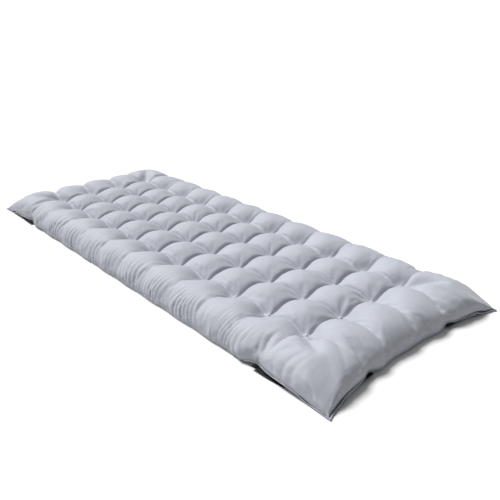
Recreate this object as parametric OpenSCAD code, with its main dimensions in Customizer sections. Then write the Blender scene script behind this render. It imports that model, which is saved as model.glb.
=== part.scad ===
// Tufted floor and cot mattress pad.
// Two cover panels joined by a knife-edge seam, three layers of fibre batting, through ties in a
// rectangular grid, and an elastic strap across each corner. It folds in half on one tuft row.
// +X runs along the length towards the foot end, +Z is up, and the pad lies on z = 0.

/* [Pad] */
// Length from corner tip to corner tip
pad_length = 1900; // [1820:10:2000]
// Width from corner tip to corner tip
pad_width = 743; // [700:1:780]
// Height of the domes between four tufts
dome_height = 95; // [85:1:110]
// How far the short edges curve in at their middle
end_pull = 48; // [10:1:60]
// How far the long edges curve in at their middle
side_pull = 11; // [0:1:20]

/* [Tufts] */
// Distance between tuft rows along the length
row_pitch = 144; // [138:1:146]
// Distance between the four tufts across the width
cross_pitch = 137; // [130:1:140]
// Height of the top panel at a tuft
tuft_height = 57; // [50:1:64]
// Height of the top panel at the crease between two tufts
crease_height = 80; // [70:1:84]
// How far the underside is drawn up at a tuft
tuft_pocket = 30; // [20:1:36]

/* [Edge] */
// Height of the underside of the edge seam along the sides
seam_height = 14; // [13:1:26]
// Height of the underside of the edge seam at the corner tips
tip_height = 6; // [4:1:12]
// Width of the sewn edge seam
seam_width = 5; // [4:0.5:8]
// Thickness of the pad where the panels meet at the edge
edge_thickness = 6; // [5:0.5:10]
// Height of the roll between the outer tufts and the edge
roll_height = 84; // [74:1:92]
// Height of the roll where a tuft line crosses it
roll_notch_height = 72; // [62:1:80]

/* [Cover] */
// Thickness of a cover panel
panel_thickness = 1; // [0.8:0.1:2]
// Free gap between one layer and the next
layer_gap = 0.3; // [0.2:0.1:0.5]

/* [Corner straps] */
// Distance from the corner tip along the long side to where a strap is sewn on
strap_on_side = 250; // [235:1:262]
// Distance from the corner tip along the short side to where a strap is sewn on
strap_on_end = 188; // [160:1:200]
// Width of the elastic
strap_width = 20; // [15:1:22]
// Thickness of the elastic
strap_thickness = 1.2; // [0.8:0.1:1.5]

/* [Hidden] */

cloth_colour = [0.72, 0.74, 0.79];
fibre_colour = [0.93, 0.93, 0.91];
thread_colour = [0.62, 0.64, 0.70];
elastic_colour = [0.05, 0.05, 0.06];

half_length = pad_length / 2;
half_width = pad_width / 2;
end_row_x = 5 * row_pitch;          // the last tuft row at each end
outer_tuft_y = 1.5 * cross_pitch;   // the outer tuft line along each side

// The fold runs across the pad just past the middle tuft row, which stays with the head half.
fold_x = 3.5;
fold_gap = 0.6;

// Grid lines: even ones run through tufts, the split or the edge, and odd ones lie between them.
end_lines = [(end_row_x + half_length) / 2, half_length];
foot_x = concat([fold_x + fold_gap / 2], [for (i = [1 : 10]) i * row_pitch / 2], end_lines);
head_x = concat(
    [-end_lines[1], -end_lines[0]],
    [for (i = [-10 : 0]) i * row_pitch / 2],
    [fold_x - fold_gap / 2]
);
side_lines = [(outer_tuft_y + half_width) / 2, half_width];
across_y = concat(
    [-side_lines[1], -side_lines[0]],
    [for (j = [-3 : 3]) j * cross_pitch / 2],
    [side_lines[0], side_lines[1]]
);

// Share of the way from the outer tufts to the edge: 0 at the tufts or inside them, 1 at the edge.
function end_share(x) = max(0, (abs(x) - end_row_x) / (half_length - end_row_x));
function side_share(y) = max(0, (abs(y) - outer_tuft_y) / (half_width - outer_tuft_y));

// 1 on a tuft line, 0 midway between two.
function on_row(x) = abs(cos(180 * x / row_pitch));
function on_line(y) = abs(cos(180 * (y / cross_pitch + 0.5)));

// Plan position of a grid crossing. The edges curve in between the tips, and inset draws the
// outermost lines in by that much.
function plan_x(x, y, inset) = x - sign(x) * end_share(x)
    * (end_pull * (1 - pow(y / half_width, 2)) + (end_share(x) == 1 ? inset : 0));
function plan_y(x, y, inset) = y - sign(y) * side_share(y)
    * (side_pull * (1 - pow(x / half_length, 4)) + (side_share(y) == 1 ? inset : 0));

// Underside of the seam, which drops towards the four tips.
function seam_z(x, y) = seam_height
    - (seam_height - tip_height) * pow(end_share(x) * side_share(y), 3);

// How strongly a crossing belongs to a corner, which stands clear of the ground over its strap.
function near_end(x) = max(0, min(1, 1 - (end_row_x - abs(x)) / row_pitch));
function near_side(y) = max(0, min(1, 1 - (outer_tuft_y - abs(y)) / cross_pitch));
corner_lift = 20;
ear_lift = 16;
function corner_z(x, y) = corner_lift * near_end(x) * near_side(y)
    + ear_lift * end_share(x) * side_share(y);

function underside_z(x, y) =
    end_share(x) == 1 || side_share(y) == 1 ? seam_z(x, y)
    : end_share(x) > 0 || side_share(y) > 0 ? corner_z(x, y)
    : tuft_pocket * max(0, on_row(x) + on_line(y) - 1);

function topside_z(x, y) =
    end_share(x) == 1 || side_share(y) == 1 ? seam_z(x, y) + edge_thickness
    : end_share(x) > 0 && side_share(y) > 0 ? roll_notch_height
    : end_share(x) > 0 ? roll_height - (roll_height - roll_notch_height) * on_line(y)
    : side_share(y) > 0 ? roll_height - (roll_height - roll_notch_height) * on_row(x)
    : dome_height - (dome_height - crease_height) * max(on_row(x), on_line(y))
        - (crease_height - tuft_height) * min(on_row(x), on_line(y));

// Level 0 is the underside and level 1 the top of what lies between the two cover panels.
cover_and_gap = panel_thickness + layer_gap;
function fill_z(x, y, level) = underside_z(x, y) + cover_and_gap
    + level * (topside_z(x, y) - underside_z(x, y) - 2 * cover_and_gap);

// A sheet of the pad between two heights at each crossing of the grid.
module layer(xs, low, high) {
    nx = len(xs);
    ny = len(across_y);
    count = nx * ny;
    points = [for (z = [low, high]) for (i = [0 : nx - 1]) for (j = [0 : ny - 1])
        [plan_x(xs[i], across_y[j], seam_width + layer_gap),
         plan_y(xs[i], across_y[j], seam_width + layer_gap), z[i][j]]];
    function at(i, j) = i * ny + j;
    // Each cell is split along the diagonal that leaves its tuft corner alone.
    upper = [for (i = [0 : nx - 2]) for (j = [0 : ny - 2])
        let (a = at(i, j), b = at(i + 1, j), c = at(i + 1, j + 1), d = at(i, j + 1))
        each (i + j) % 2 == 0 ? [[a, d, b], [b, d, c]] : [[a, d, c], [a, c, b]]];
    rim = concat(
        [for (i = [0 : nx - 1]) at(i, 0)], [for (j = [1 : ny - 1]) at(nx - 1, j)],
        [for (i = [nx - 2 : -1 : 0]) at(i, ny - 1)], [for (j = [ny - 2 : -1 : 1]) at(0, j)]
    );
    walls = [for (k = [0 : len(rim) - 1])
        let (p = rim[k], q = rim[(k + 1) % len(rim)])
        each [[p, p + count, q + count], [p, q + count, q]]];
    polyhedron(
        points = points,
        faces = concat(
            [for (f = upper) [for (v = f) v + count]],
            [for (f = upper) [f[2], f[1], f[0]]],
            walls
        ),
        convexity = 10
    );
}

// Heights of one surface over the grid.
function underside(xs) = [for (x = xs) [for (y = across_y) underside_z(x, y)]];
function topside(xs) = [for (x = xs) [for (y = across_y) topside_z(x, y)]];
function filling(xs, level, shift) =
    [for (x = xs) [for (y = across_y) fill_z(x, y, level) + shift]];
function raised(heights, by) = [for (row = heights) [for (z = row) z + by]];

// Needle holes for the ties of the rows from first to last, counted from the middle row.
hole_radius = 1.6;
hole_overrun = 10;
tie_radius = 1.2;
module tie_holes(first, last) {
    for (i = [first : last]) for (j = [-1.5 : 1.5])
        translate([i * row_pitch, j * cross_pitch, tuft_pocket - hole_overrun])
            cylinder(r = hole_radius, h = tuft_height - tuft_pocket + 2 * hole_overrun, $fn = 8);
}

module stitched_layer(xs, first, last, low, high) {
    difference() {
        layer(xs, low, high);
        tie_holes(first, last);
    }
}

module top_panel(xs, first, last) {
    color(cloth_colour)
        stitched_layer(xs, first, last, raised(topside(xs), -panel_thickness), topside(xs));
}

module bottom_panel(xs, first, last) {
    color(cloth_colour)
        stitched_layer(xs, first, last, underside(xs), raised(underside(xs), panel_thickness));
}

// One of three batting layers, 0 at the bottom.
module batt(xs, first, last, number) {
    low_shift = number == 0 ? 0 : layer_gap / 2;
    high_shift = number == 2 ? 0 : -layer_gap / 2;
    color(fibre_colour)
        stitched_layer(xs, first, last,
            filling(xs, number / 3, low_shift), filling(xs, (number + 1) / 3, high_shift));
}

// The edge where both panels are sewn together: a strip around one half, with a thin outer edge.
edge_taper = 1.5;
module edge_seam(xs, outward) {
    run = outward > 0 ? xs : [for (i = [len(xs) - 1 : -1 : 0]) xs[i]];
    last = len(run) - 1;
    route = concat(
        [for (x = run) [x, -outward * half_width]],
        [for (j = [1 : len(across_y) - 2]) [run[last], outward * across_y[j]]],
        [for (i = [last : -1 : 0]) [run[i], outward * half_width]]
    );
    points = [for (p = route)
        let (z = seam_z(p[0], p[1]), x = p[0], y = p[1])
        each [
            [plan_x(x, y, seam_width), plan_y(x, y, seam_width), z],
            [plan_x(x, y, 0), plan_y(x, y, 0), z + edge_taper],
            [plan_x(x, y, 0), plan_y(x, y, 0), z + edge_thickness - edge_taper],
            [plan_x(x, y, seam_width), plan_y(x, y, seam_width), z + edge_thickness]
        ]];
    color(thread_colour) strip(points);
}

// A closed strip through sections of four points each.
module strip(points) {
    sections = len(points) / 4;
    polyhedron(
        points = points,
        faces = concat(
            [[0, 1, 2, 3]],
            [[for (k = [3 : -1 : 0]) 4 * (sections - 1) + k]],
            [for (s = [0 : sections - 2]) for (k = [0 : 3])
                let (a = 4 * s + k, b = 4 * s + (k + 1) % 4)
                each [[a, a + 4, b + 4], [a, b + 4, b]]]
        ),
        convexity = 6
    );
}

// One row of four ties: a thread through every layer, with a short bar tack at each end.
tack_length = 6;
tack_width = 1.6;
tack_height = 1;
tack_clearance = 2;
module tuft_row(i) {
    color(thread_colour)
        for (j = [-1.5 : 1.5]) translate([i * row_pitch, j * cross_pitch, 0]) {
            bottom = tuft_pocket - tack_clearance;
            top = tuft_height + tack_clearance;
            translate([0, 0, bottom]) cylinder(r = tie_radius, h = top - bottom, $fn = 8);
            for (z = [bottom - tack_height / 2, top + tack_height / 2])
                translate([0, 0, z]) cube([tack_width, tack_length, tack_height], center = true);
        }
}

// A corner strap lies under its corner in a slack loop. Its route is a quarter of a full, rounded
// oval from the long side to the short one, dropping to the ground between the two sewn ends.
strap_root_z = 9.5;
strap_rest_z = 0.5;
end_pull_at_strap = 1; // share of end_pull where the strap meets the short edge
strap_start = [half_length - strap_on_side, half_width - side_pull];
strap_end = [half_length - end_pull_at_strap * end_pull, half_width - strap_on_end];
strap_fullness = 0.74;
strap_drop_share = 0.62;
strap_steps = 20;
function eased(t) = t * t * (3 - 2 * t);
function strap_point(a) = [
    strap_start[0] + (strap_end[0] - strap_start[0]) * pow(sin(a), strap_fullness),
    strap_end[1] + (strap_start[1] - strap_end[1]) * pow(cos(a), strap_fullness),
    strap_rest_z + strap_thickness / 2 + (strap_root_z - strap_rest_z - strap_thickness / 2)
        * (1 - eased(min(1, sin(2 * a) / strap_drop_share)))
];
function strap_across(a) =
    let (p = strap_point(max(0, a - 1)), q = strap_point(min(90, a + 1)),
         d = [q[0] - p[0], q[1] - p[1]])
    [d[1], -d[0]] / norm(d) * strap_width / 2;
module corner_strap() {
    points = [for (s = [0 : strap_steps])
        let (a = 90 * s / strap_steps, p = strap_point(a), w = strap_across(a),
             t = strap_thickness / 2)
        each [
            [p[0] - w[0], p[1] - w[1], p[2] - t], [p[0] - w[0], p[1] - w[1], p[2] + t],
            [p[0] + w[0], p[1] + w[1], p[2] + t], [p[0] + w[0], p[1] + w[1], p[2] - t]
        ]];
    color(elastic_colour) strip(points);
}

// The two sewn ends of a strap, each a folded tab under the seam that meets the strap end to end.
tab_length = 14;
tab_gap = 0.5;
tab_thickness = 3.2;
module strap_tabs() {
    z = strap_root_z - strap_thickness / 2;
    along = tab_length + tab_gap;
    color(elastic_colour) {
        translate([strap_start[0] - along, strap_start[1] - strap_width / 2, z])
            cube([tab_length, strap_width, tab_thickness]);
        translate([strap_end[0] - strap_width / 2, strap_end[1] - along, z])
            cube([strap_width, tab_length, tab_thickness]);
    }
}

// Puts a piece of the foot's left corner at another corner.
module at_corner(end, side) {
    mirror([end < 0 ? 1 : 0, 0, 0]) mirror([0, side < 0 ? 1 : 0, 0]) children();
}
head = -1;
foot = 1;
left = 1;
right = -1;

top_panel(head_x, -5, 0);  // top_panel_head
top_panel(foot_x, 1, 5);  // top_panel_foot
bottom_panel(head_x, -5, 0);  // bottom_panel_head
bottom_panel(foot_x, 1, 5);  // bottom_panel_foot
batt(head_x, -5, 0, 2);  // upper_batt_head
batt(foot_x, 1, 5, 2);  // upper_batt_foot
batt(head_x, -5, 0, 1);  // middle_batt_head
batt(foot_x, 1, 5, 1);  // middle_batt_foot
batt(head_x, -5, 0, 0);  // lower_batt_head
batt(foot_x, 1, 5, 0);  // lower_batt_foot
edge_seam(head_x, head);  // edge_seam_head
edge_seam(foot_x, foot);  // edge_seam_foot
tuft_row(-5);  // tuft_row_01
tuft_row(-4);  // tuft_row_02
tuft_row(-3);  // tuft_row_03
tuft_row(-2);  // tuft_row_04
tuft_row(-1);  // tuft_row_05
tuft_row(0);  // tuft_row_06
tuft_row(1);  // tuft_row_07
tuft_row(2);  // tuft_row_08
tuft_row(3);  // tuft_row_09
tuft_row(4);  // tuft_row_10
tuft_row(5);  // tuft_row_11
at_corner(head, left) corner_strap();  // corner_strap_head_left
at_corner(head, right) corner_strap();  // corner_strap_head_right
at_corner(foot, left) corner_strap();  // corner_strap_foot_left
at_corner(foot, right) corner_strap();  // corner_strap_foot_right
at_corner(head, left) strap_tabs();  // strap_tabs_head_left
at_corner(head, right) strap_tabs();  // strap_tabs_head_right
at_corner(foot, left) strap_tabs();  // strap_tabs_foot_left
at_corner(foot, right) strap_tabs();  // strap_tabs_foot_right
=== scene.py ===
import math

import bpy
import numpy as np
from mathutils import Matrix, Vector


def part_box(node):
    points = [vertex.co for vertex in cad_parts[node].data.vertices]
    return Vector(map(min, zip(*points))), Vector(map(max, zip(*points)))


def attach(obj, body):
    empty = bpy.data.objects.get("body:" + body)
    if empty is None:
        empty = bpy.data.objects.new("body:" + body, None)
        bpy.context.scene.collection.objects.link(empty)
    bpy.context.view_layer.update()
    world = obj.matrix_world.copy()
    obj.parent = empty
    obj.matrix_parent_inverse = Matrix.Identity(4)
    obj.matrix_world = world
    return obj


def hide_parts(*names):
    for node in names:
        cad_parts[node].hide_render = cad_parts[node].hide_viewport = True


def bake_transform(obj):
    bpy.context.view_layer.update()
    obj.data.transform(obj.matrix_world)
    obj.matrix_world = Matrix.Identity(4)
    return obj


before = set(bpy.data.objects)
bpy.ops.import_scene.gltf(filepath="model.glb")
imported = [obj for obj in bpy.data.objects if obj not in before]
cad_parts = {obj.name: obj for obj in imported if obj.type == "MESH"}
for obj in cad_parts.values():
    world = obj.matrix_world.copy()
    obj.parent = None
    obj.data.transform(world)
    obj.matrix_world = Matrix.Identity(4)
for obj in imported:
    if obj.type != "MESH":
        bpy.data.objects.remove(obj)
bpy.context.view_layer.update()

bl_info = {
    "name": "Tufted Mattress Pad",
    "version": (1, 0, 0),
    "blender": (4, 5, 0),
    "location": "3D View > Sidebar > Mattress Pad",
    "description": "Builds a tufted folding mattress pad with corner straps on its packed frame",
    "category": "Object",
}

# ---------------------------------------------------------------------------
# Places taken from the frame, in metres
# ---------------------------------------------------------------------------

ROW_NODES = [f"tuft_row_{number:02d}" for number in range(1, 12)]
CORNERS = {"head_left": (-1, 1), "head_right": (-1, -1), "foot_left": (1, 1), "foot_right": (1, -1)}
LAYERS = ("lower_batt", "middle_batt", "upper_batt")


def middle(node):
    low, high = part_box(node)
    return [(a + b) / 2 for a, b in zip(low, high)]


HALF_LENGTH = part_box("edge_seam_foot")[1][0]
HALF_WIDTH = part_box("edge_seam_foot")[1][1]
ROW_PITCH = (middle(ROW_NODES[-1])[0] - middle(ROW_NODES[0])[0]) / 10
TACK_HALF = 0.003
CROSS_PITCH = 2 * (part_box(ROW_NODES[0])[1][1] - TACK_HALF) / 3
END_ROW = 5 * ROW_PITCH
OUTER_LINE = 1.5 * CROSS_PITCH
FOLD_X = (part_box("top_panel_head")[1][0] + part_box("top_panel_foot")[0][0]) / 2
TUFT_X = [i * ROW_PITCH for i in range(-5, 6)]
TUFT_Y = [(j - 1.5) * CROSS_PITCH for j in range(4)]
TUFTS = [(x, y) for x in TUFT_X for y in TUFT_Y]
STRAP_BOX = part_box("corner_strap_foot_left")
TAB_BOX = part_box("strap_tabs_foot_left")
STRAP_ON_SIDE = TAB_BOX[0][0] + 0.007
STRAP_ON_END = TAB_BOX[0][1] + 0.007


# ---------------------------------------------------------------------------
# Settings
# ---------------------------------------------------------------------------


def length(name, text, default):
    return bpy.props.FloatProperty(
        name=name, description=text, default=default, subtype="DISTANCE", unit="LENGTH"
    )


def number(name, text, default):
    return bpy.props.FloatProperty(name=name, description=text, default=default)


def colour(name, text, default):
    return bpy.props.FloatVectorProperty(
        name=name, description=text, default=default, size=3, subtype="COLOR", min=0, max=1
    )


class PadShape(bpy.types.PropertyGroup):
    """The shape that the cover is cut and stuffed to."""

    cell: length("Cell", "Spacing of the cloth's mesh before it is refined", 0.0072)
    dome: length("Dome", "Height of a dome before the cloth is inflated", 0.083)
    crease: length("Crease", "Height between two tufts before the cloth is inflated", 0.069)
    tuft: length("Tuft", "Height of the top cover at a tuft", 0.046)
    pocket: length("Pocket", "Height of the bottom cover at a tuft", 0.030)
    roll: length("Roll", "Height of the roll around the edge", 0.083)
    tallest: length("Tallest", "Height that the domes are held below", 0.092)
    ear_slope: number("Ear slope", "Steepness of the corners towards their tips", 0.62)
    bulge: length("Widest line", "Height of the widest line of the roll above the seam", 0.014)
    side_tuck: number("Side tuck", "How far the long sides turn back under, in radians", 0.33)
    end_tuck: number("End tuck", "How far the short sides turn back under, in radians", 0.27)
    fold_in: length("Fold in", "Depth of the creases between the tufts", 0.014)
    end_pull: length("End pull", "How far the short edges curve in", 0.048)
    side_pull: length("Side pull", "How far the long edges curve in", 0.004)
    scallop: length("Scallop", "How far the edge dips in where a tuft line meets it", 0.003)
    strap_notch: length("Strap notch", "How far the edge dips in where a strap is sewn on", 0.009)
    seam: length("Seam", "Height of the edge seam between the straps", 0.0045)
    corner_seam: length("Corner seam", "Height of the edge seam where it passes over a strap", 0.0143)
    tab_seam: length("Seam at the straps", "Height of the edge seam where a strap is sewn in", 0.0148)
    tip: length("Tip", "Height of the corner tips", 0.0035)
    flange: length("Flange", "Width of the sewn edge", 0.0016)
    thickness: length("Thickness", "Thickness of the cover cloth", 0.0007)


class ClothFeel(bpy.types.PropertyGroup):
    """How the cover cloth is inflated by the fibre."""

    frames: bpy.props.IntProperty(name="Frames", description="Steps of the inflation", default=20)
    pressure: number("Pressure", "Push of the fibre on the cloth", 12.0)
    stretch: number("Stretch stiffness", "Resistance of the cloth to stretching", 35.0)
    shear: number("Shear stiffness", "Resistance of the weave to skewing", 9.0)
    bending: number("Bending stiffness", "Resistance of the cloth to folding", 0.015)
    spare: number("Spare cloth", "Extra cloth between the tufts, as a share", 0.06)
    spare_edge: number("Spare cloth at the edge", "Extra cloth in the edge roll, as a share", 0.01)
    pleat: length("Pleat depth", "Depth of the fine pleats on the edge roll", 0.0050)
    pleat_pitch: length("Pleat spacing", "Distance between fine pleats", 0.019)


class PadFinish(bpy.types.PropertyGroup):
    """Colours and weaves."""

    cloth: colour("Cloth", "Colour of the cover", (0.475, 0.495, 0.55))
    cloth_dark: colour("Cloth shade", "Colour between the threads of the cover", (0.29, 0.305, 0.345))
    fibre: colour("Fibre", "Colour of the batting", (0.86, 0.86, 0.83))
    thread: colour("Thread", "Colour of the sewing thread", (0.40, 0.42, 0.47))
    elastic: colour("Elastic", "Colour of the corner straps", (0.006, 0.006, 0.007))
    rib: length("Weave", "Spacing of the cover's twill ribs", 0.0033)


class StageSettings(bpy.types.PropertyGroup):
    """Floor, light and camera."""

    lens: number("Lens", "Focal length of the camera, in mm", 42.24)
    camera_place: bpy.props.FloatVectorProperty(
        name="Camera",
        description="Place of the camera",
        default=(1.6135, -1.1885, 0.8616),
        subtype="XYZ",
    )
    camera_turn: bpy.props.FloatVectorProperty(
        name="Camera turn",
        description="Azimuth from +Y, downward tilt and roll of the camera, in degrees",
        default=(48.67, 23.36, -0.24),
        subtype="XYZ",
    )
    floor: colour("Floor", "Colour of the floor", (0.80, 0.80, 0.80))
    sky: number("Fill light", "Strength of the light from all round", 0.24)
    key: number("Key light", "Strength of the key light", 4.4)
    key_from: bpy.props.FloatVectorProperty(
        name="Key direction",
        description="Where the key light comes from",
        default=(-0.74, -0.06, 1.0),
        subtype="XYZ",
    )
    softness: bpy.props.FloatProperty(
        name="Softness",
        description="Angle that the key light covers",
        default=math.radians(24),
        subtype="ANGLE",
    )


# ---------------------------------------------------------------------------
# Small helpers
# ---------------------------------------------------------------------------


def settings():
    scene = bpy.context.scene
    return scene.pad_shape, scene.pad_feel, scene.pad_finish, scene.pad_stage


def lattice_noise(x, y, seed):
    """Smooth value noise between -1 and 1, for arrays of points."""
    x, y = np.asarray(x, float), np.asarray(y, float)
    x0, y0 = np.floor(x), np.floor(y)
    fx, fy = x - x0, y - y0
    fx, fy = fx * fx * (3 - 2 * fx), fy * fy * (3 - 2 * fy)

    def corner(a, b):
        value = np.sin(a * 127.1 + b * 311.7 + seed * 74.7) * 43758.5453
        return 2 * (value - np.floor(value)) - 1

    low = corner(x0, y0) * (1 - fx) + corner(x0 + 1, y0) * fx
    high = corner(x0, y0 + 1) * (1 - fx) + corner(x0 + 1, y0 + 1) * fx
    return low * (1 - fy) + high * fy


def new_object(name, verts, faces, smooth=True):
    mesh = bpy.data.meshes.new(name)
    mesh.from_pydata(np.asarray(verts, float).reshape(-1, 3).tolist(), [], [list(f) for f in faces])
    mesh.update()
    mesh.polygons.foreach_set("use_smooth", [smooth] * len(mesh.polygons))
    piece = bpy.data.objects.new(name, mesh)
    bpy.context.scene.collection.objects.link(piece)
    return piece


def read_vectors(rows, key):
    flat = np.empty(len(rows) * 3, np.float32)
    rows.foreach_get(key, flat)
    return flat.reshape(-1, 3).astype(float)


def points_of(piece):
    return read_vectors(piece.data.vertices, "co")


def move_points(piece, points):
    piece.data.vertices.foreach_set("co", points.astype(np.float32).ravel())
    piece.data.update()


def apply_modifiers(piece):
    """Replaces the piece's mesh with what its modifiers make of it."""
    graph = bpy.context.evaluated_depsgraph_get()
    mesh = bpy.data.meshes.new_from_object(piece.evaluated_get(graph))
    piece.modifiers.clear()
    old, piece.data = piece.data, mesh
    name = old.name
    bpy.data.meshes.remove(old)
    mesh.name = name
    piece.vertex_groups.clear()
    return piece


def refine(piece, levels=1):
    modifier = piece.modifiers.new("Smooth", "SUBSURF")
    modifier.levels = modifier.render_levels = levels
    modifier.boundary_smooth = "PRESERVE_CORNERS"
    return apply_modifiers(piece)


def keep_cut_place(piece, places):
    """Stores where each point lies on the flat cut cloth, which the weave follows."""
    attribute = piece.data.attributes.new("cut_place", "FLOAT_VECTOR", "POINT")
    attribute.data.foreach_set("vector", np.asarray(places, np.float32).ravel())


def read_cut_place(piece):
    return read_vectors(piece.data.attributes["cut_place"].data, "vector")


def grid_faces(index):
    """Quads of a grid of point numbers."""
    corners = [index[:-1, :-1], index[1:, :-1], index[1:, 1:], index[:-1, 1:]]
    return np.stack(corners, -1).reshape(-1, 4)


def grid_rim(index):
    """The numbers along the edge of a grid, once round."""
    return np.concatenate([index[:-1, 0], index[-1, :-1], index[:0:-1, -1], index[0, :0:-1]])


def tube_along(path, across, up, profile):
    """Points and faces of a closed tube: profile's (a, b) points at each place of the path, with
    a along across and b along up."""
    count, sides = len(path), len(profile)
    verts = [p + w * a + u * b for p, w, u in zip(path, across, up) for a, b in profile]
    faces = []
    for start in range(0, (count - 1) * sides, sides):
        for k in range(sides):
            after = (k + 1) % sides
            faces.append((start + k, start + after, start + sides + after, start + sides + k))
    faces.append(tuple(range(sides))[::-1])
    faces.append(tuple((count - 1) * sides + k for k in range(sides)))
    return verts, faces


def gather(parts):
    """Joins several (points, faces) into one."""
    verts, faces = [], []
    for more_verts, more_faces in parts:
        start = len(verts)
        verts.extend(more_verts)
        faces.extend(tuple(i + start for i in face) for face in more_faces)
    return verts, faces


def across_the_fold(piece):
    """Bakes the piece's placement into its mesh. The pad bends just on the foot side of the fold, round
    the outside of it, but nothing here bends the piece.
    """
    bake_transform(piece)


# ---------------------------------------------------------------------------
# Materials
# ---------------------------------------------------------------------------


def group_socket(group, name, kind, out=False, default=None):
    socket = group.interface.new_socket(
        name=name, in_out="OUTPUT" if out else "INPUT", socket_type=kind
    )
    if default is not None:
        socket.default_value = default
    return socket


class Wiring:
    """Short ways to add and join nodes in one tree."""

    def __init__(self, tree):
        self.tree = tree

    def add(self, kind, **values):
        node = self.tree.nodes.new(kind)
        for key, value in values.items():
            setattr(node, key, value)
        return node

    def join(self, source, target):
        self.tree.links.new(source, target)

    def math(self, operation, a, b=None):
        node = self.add("ShaderNodeMath", operation=operation)
        for socket, value in zip(node.inputs, (a, b)):
            if value is None:
                continue
            if isinstance(value, (int, float)):
                socket.default_value = value
            else:
                self.join(value, socket)
        return node.outputs[0]

    def noise(self, place, scale, detail=2.0, distortion=0.0):
        node = self.add("ShaderNodeTexNoise")
        for name, value in (("Scale", scale), ("Detail", detail), ("Distortion", distortion)):
            node.inputs[name].default_value = value
        self.join(place, node.inputs["Vector"])
        return node.outputs["Fac"]

    def ramp(self, source, dark, light, low=0.0, high=1.0):
        node = self.add("ShaderNodeValToRGB")
        for element, place, shade in zip(node.color_ramp.elements, (low, high), (dark, light)):
            element.position = place
            element.color = (*shade, 1)
        self.join(source, node.inputs["Fac"])
        return node.outputs["Color"]


def twill_group():
    """Diagonal twill: ribs across the cut cloth, broken by the threads that cross them."""
    name = "Twill Weave"
    if name in bpy.data.node_groups:
        return bpy.data.node_groups[name]
    group = bpy.data.node_groups.new(name, "ShaderNodeTree")
    group_socket(group, "Place", "NodeSocketVector")
    group_socket(group, "Rib", "NodeSocketFloat", default=0.002)
    group_socket(group, "Light", "NodeSocketColor", default=(0.5, 0.5, 0.5, 1))
    group_socket(group, "Dark", "NodeSocketColor", default=(0.4, 0.4, 0.4, 1))
    group_socket(group, "Colour", "NodeSocketColor", out=True)
    group_socket(group, "Height", "NodeSocketFloat", out=True)
    group_socket(group, "Roughness", "NodeSocketFloat", out=True)
    w = Wiring(group)
    given, made = w.add("NodeGroupInput"), w.add("NodeGroupOutput")
    parts = w.add("ShaderNodeSeparateXYZ")
    w.join(given.outputs["Place"], parts.inputs[0])
    x, y = parts.outputs[0], parts.outputs[1]

    def waves(across, turns):
        """Ripples between 0 and 1 over the distance across."""
        spacings = w.math("DIVIDE", across, given.outputs["Rib"])
        ripple = w.math("SINE", w.math("MULTIPLY", spacings, 2 * math.pi * turns))
        return w.math("ADD", w.math("MULTIPLY", ripple, 0.5), 0.5)

    ribs = waves(w.math("ADD", x, w.math("MULTIPLY", y, 1.7)), 1)
    beads = waves(w.math("SUBTRACT", y, w.math("MULTIPLY", x, 0.2)), 1.6)
    slubs = w.noise(given.outputs["Place"], 260, 3)
    weave = w.math("ADD", w.math("MULTIPLY", ribs, 0.62), w.math("MULTIPLY", beads, 0.38))
    height = w.math("ADD", weave, w.math("MULTIPLY", slubs, 0.5))
    w.join(height, made.inputs["Height"])
    cloud = w.noise(given.outputs["Place"], 7, 4)
    uneven = [w.math("MULTIPLY", noise, 0.35) for noise in (slubs, cloud)]
    tone = w.math("ADD", w.math("MULTIPLY", weave, 0.55), w.math("ADD", *uneven))
    mix = w.add("ShaderNodeMix", data_type="RGBA")
    w.join(tone, mix.inputs["Factor"])
    w.join(given.outputs["Dark"], mix.inputs["A"])
    w.join(given.outputs["Light"], mix.inputs["B"])
    w.join(mix.outputs["Result"], made.inputs["Colour"])
    rough = w.math("ADD", w.math("MULTIPLY", weave, -0.12), 0.72)
    w.join(rough, made.inputs["Roughness"])
    return group


def new_material(name):
    material = bpy.data.materials.new(name)
    material.use_nodes = True
    wiring = Wiring(material.node_tree)
    shader = material.node_tree.nodes["Principled BSDF"]
    return material, wiring, shader


def bump_into(w, shader, height, strength, distance):
    bump = w.add("ShaderNodeBump")
    bump.inputs["Strength"].default_value = strength
    bump.inputs["Distance"].default_value = distance
    w.join(height, bump.inputs["Height"])
    w.join(bump.outputs["Normal"], shader.inputs["Normal"])


def woven_material(name, light, dark, rib, place, strength=0.45, sheen=0.2, gloss=0.35):
    """Woven cloth. place is an attribute's name, or None for the object's own coordinates."""
    material, w, shader = new_material(name)
    weave = w.add("ShaderNodeGroup", node_tree=twill_group())
    if place:
        source = w.add("ShaderNodeAttribute", attribute_type="GEOMETRY", attribute_name=place)
        w.join(source.outputs["Vector"], weave.inputs["Place"])
    else:
        source = w.add("ShaderNodeTexCoord")
        w.join(source.outputs["Object"], weave.inputs["Place"])
    weave.inputs["Rib"].default_value = rib
    weave.inputs["Light"].default_value = (*light, 1)
    weave.inputs["Dark"].default_value = (*dark, 1)
    w.join(weave.outputs["Colour"], shader.inputs["Base Color"])
    w.join(weave.outputs["Roughness"], shader.inputs["Roughness"])
    shader.inputs["Specular IOR Level"].default_value = gloss
    shader.inputs["Sheen Weight"].default_value = sheen
    shader.inputs["Sheen Roughness"].default_value = 0.45
    bump_into(w, shader, weave.outputs["Height"], strength, 0.0004)
    return material


def fibre_material(colour_of_fibre):
    material, w, shader = new_material("Fibre Batting")
    place = w.add("ShaderNodeTexCoord")
    tangle = w.noise(place.outputs["Object"], 90, 8, 1.2)
    shade = w.ramp(tangle, [c * 0.8 for c in colour_of_fibre], colour_of_fibre, 0.3, 0.7)
    w.join(shade, shader.inputs["Base Color"])
    shader.inputs["Roughness"].default_value = 1.0
    shader.inputs["Specular IOR Level"].default_value = 0.1
    shader.inputs["Sheen Weight"].default_value = 0.4
    bump_into(w, shader, tangle, 0.8, 0.002)
    return material


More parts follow.
